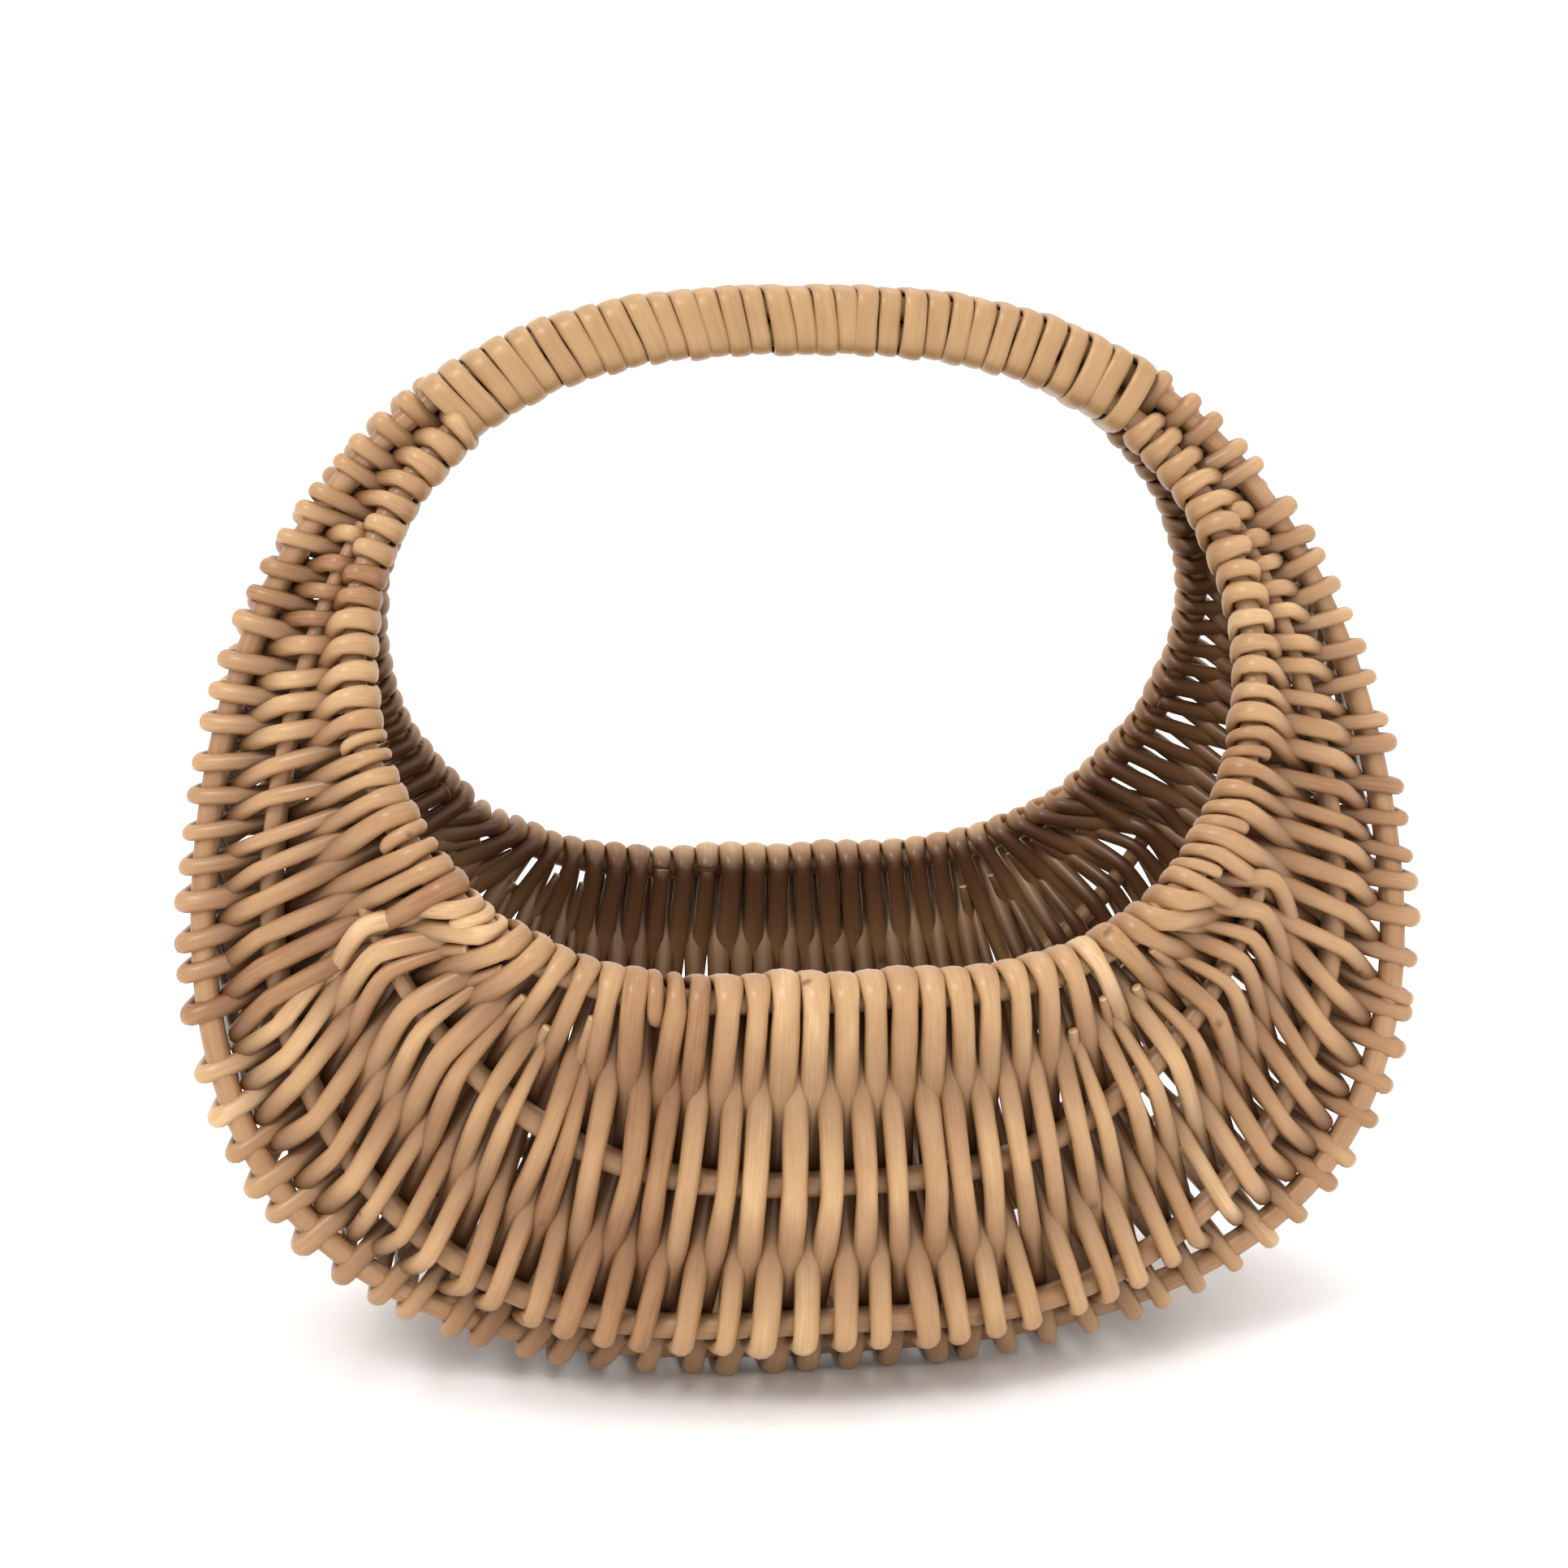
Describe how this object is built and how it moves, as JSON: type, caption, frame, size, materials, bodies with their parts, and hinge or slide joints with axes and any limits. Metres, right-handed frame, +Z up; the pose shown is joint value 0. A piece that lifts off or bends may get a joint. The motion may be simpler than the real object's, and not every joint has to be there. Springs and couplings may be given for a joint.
{
  "type": "wicker basket",
  "caption": "Half-moon frame basket of woven willow: hoops spread into an open oval bowl and run together into a rigid arched grip bound with willow.",
  "frame": {"origin": "on the floor under the middle of the base", "axes": "+Z up, X along the basket's length with the left and right ends alike, Y across it with the front at -Y"},
  "size_m": [0.2998, 0.1502, 0.263],
  "materials": {
    "peeled_willow_rod": "smooth peeled willow, satin",
    "woven_willow": "buff willow weavers, satin varnish",
    "binding_willow": "split willow skein, satin varnish"
  },
  "bodies": {
    "root": {"front_rim_hoop": "peeled_willow_rod", "back_rim_hoop": "peeled_willow_rod", "front_base_hoop": "peeled_willow_rod", "back_base_hoop": "peeled_willow_rod", "front_side_rib": "peeled_willow_rod", "back_side_rib": "peeled_willow_rod", "front_short_rib": "peeled_willow_rod", "back_short_rib": "peeled_willow_rod", "weaver_right_01": "woven_willow", "weaver_right_02": "woven_willow", "weaver_right_03": "woven_willow", "weaver_right_04": "woven_willow", "weaver_right_05": "woven_willow", "weaver_right_06": "woven_willow", "weaver_right_07": "woven_willow", "weaver_right_08": "woven_willow", "weaver_right_09": "woven_willow", "weaver_right_10": "woven_willow", "weaver_right_11": "woven_willow", "weaver_right_12": "woven_willow", "weaver_left_01": "woven_willow", "weaver_left_02": "woven_willow", "weaver_left_03": "woven_willow", "weaver_left_04": "woven_willow", "weaver_left_05": "woven_willow", "weaver_left_06": "woven_willow", "weaver_left_07": "woven_willow", "weaver_left_08": "woven_willow", "weaver_left_09": "woven_willow", "weaver_left_10": "woven_willow", "weaver_left_11": "woven_willow", "weaver_left_12": "woven_willow", "grip_binding_right": "binding_willow", "grip_binding_left": "binding_willow"}
  },
  "joints": []
}
